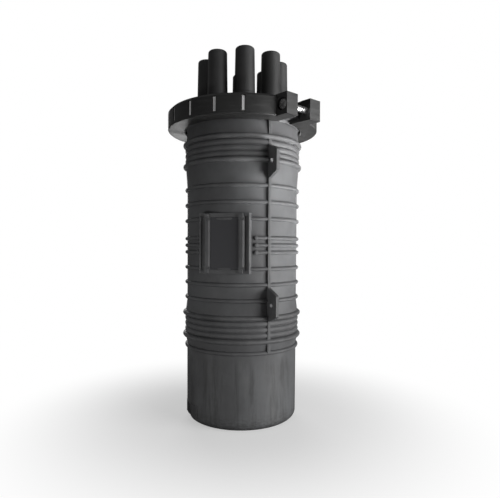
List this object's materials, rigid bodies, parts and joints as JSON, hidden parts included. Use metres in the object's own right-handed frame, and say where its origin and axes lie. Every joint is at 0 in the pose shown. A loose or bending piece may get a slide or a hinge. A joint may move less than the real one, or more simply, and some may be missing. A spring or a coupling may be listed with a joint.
{
  "type": "dome splice closure",
  "caption": "Black ribbed dome closure for optical fibre splices, standing on its closed end, with blind cable ports on top and a bolted clamp ring round its flange.",
  "frame": {"origin": "centre of the closed end, on the face that the closure stands on", "axes": "+Z along the dome towards the cable ports; the label pad faces -Y; +X to the right of someone who faces the label pad"},
  "size_m": [0.21, 0.2142, 0.499],
  "materials": {
    "dome_plastic": "satin",
    "base_plastic": "satin",
    "ring_plastic": "satin",
    "seal_rubber": "matte",
    "band_steel": "satin",
    "zinc_steel": "satin",
    "sheet_steel": "satin",
    "tray_plastic": "satin",
    "holder_rubber": "matte",
    "cover_plastic": "gloss"
  },
  "bodies": {
    "closure": {"dome": "dome_plastic", "base": "base_plastic", "seal_ring": "seal_rubber", "clamp_ring": "ring_plastic", "clamp_band": "band_steel", "clamp_nut": "zinc_steel", "anchor_plate": "sheet_steel", "anchor_screws": "zinc_steel", "bracket": "sheet_steel", "bracket_screws": "zinc_steel", "tray_carrier": "tray_plastic", "carrier_screws": "zinc_steel", "storage_basket": "tray_plastic", "basket_screws": "zinc_steel"},
    "bolt_carriage": {"clamp_washer": "zinc_steel"},
    "bolt": {"clamp_bolt": "zinc_steel"},
    "tray_1": {"splice_tray_1": "tray_plastic", "splice_holder_1": "holder_rubber"},
    "tray_2": {"splice_tray_2": "tray_plastic", "splice_holder_2": "holder_rubber"},
    "tray_3": {"splice_tray_3": "tray_plastic", "splice_holder_3": "holder_rubber"},
    "tray_4": {"splice_tray_4": "tray_plastic", "splice_holder_4": "holder_rubber", "tray_cover": "cover_plastic"}
  },
  "joints": [
    {"name": "bolt_travel", "type": "slide", "parent": "closure", "child": "bolt_carriage", "axis": [-0.7604, -0.6494, 0], "range_m": [0, 0.0075]},
    {"name": "bolt_turn", "type": "hinge", "parent": "bolt_carriage", "child": "bolt", "pos_m": [0.0706, -0.08266, 0.4105], "axis": [-0.7604, -0.6494, 0], "range_deg": [0, 2161]},
    {"name": "tray_1_swing", "type": "hinge", "parent": "closure", "child": "tray_1", "pos_m": [0, -0.0005, 0.3795], "axis": [-1, 0, 0], "range_deg": [0, 1.5]},
    {"name": "tray_2_swing", "type": "hinge", "parent": "closure", "child": "tray_2", "pos_m": [0, -0.011, 0.3795], "axis": [-1, 0, 0], "range_deg": [0, 3]},
    {"name": "tray_3_swing", "type": "hinge", "parent": "closure", "child": "tray_3", "pos_m": [0, -0.0215, 0.3795], "axis": [-1, 0, 0], "range_deg": [0, 4.5]},
    {"name": "tray_4_swing", "type": "hinge", "parent": "closure", "child": "tray_4", "pos_m": [0, -0.032, 0.3795], "axis": [-1, 0, 0], "range_deg": [0, 6]}
  ],
  "couplings": [
    {"joint": "bolt_turn", "follows": "bolt_travel", "rad_per_m": 5026.5},
    {"joint": "tray_1_swing", "follows": "tray_4_swing", "ratio": 0.25},
    {"joint": "tray_2_swing", "follows": "tray_4_swing", "ratio": 0.5},
    {"joint": "tray_3_swing", "follows": "tray_4_swing", "ratio": 0.75}
  ]
}
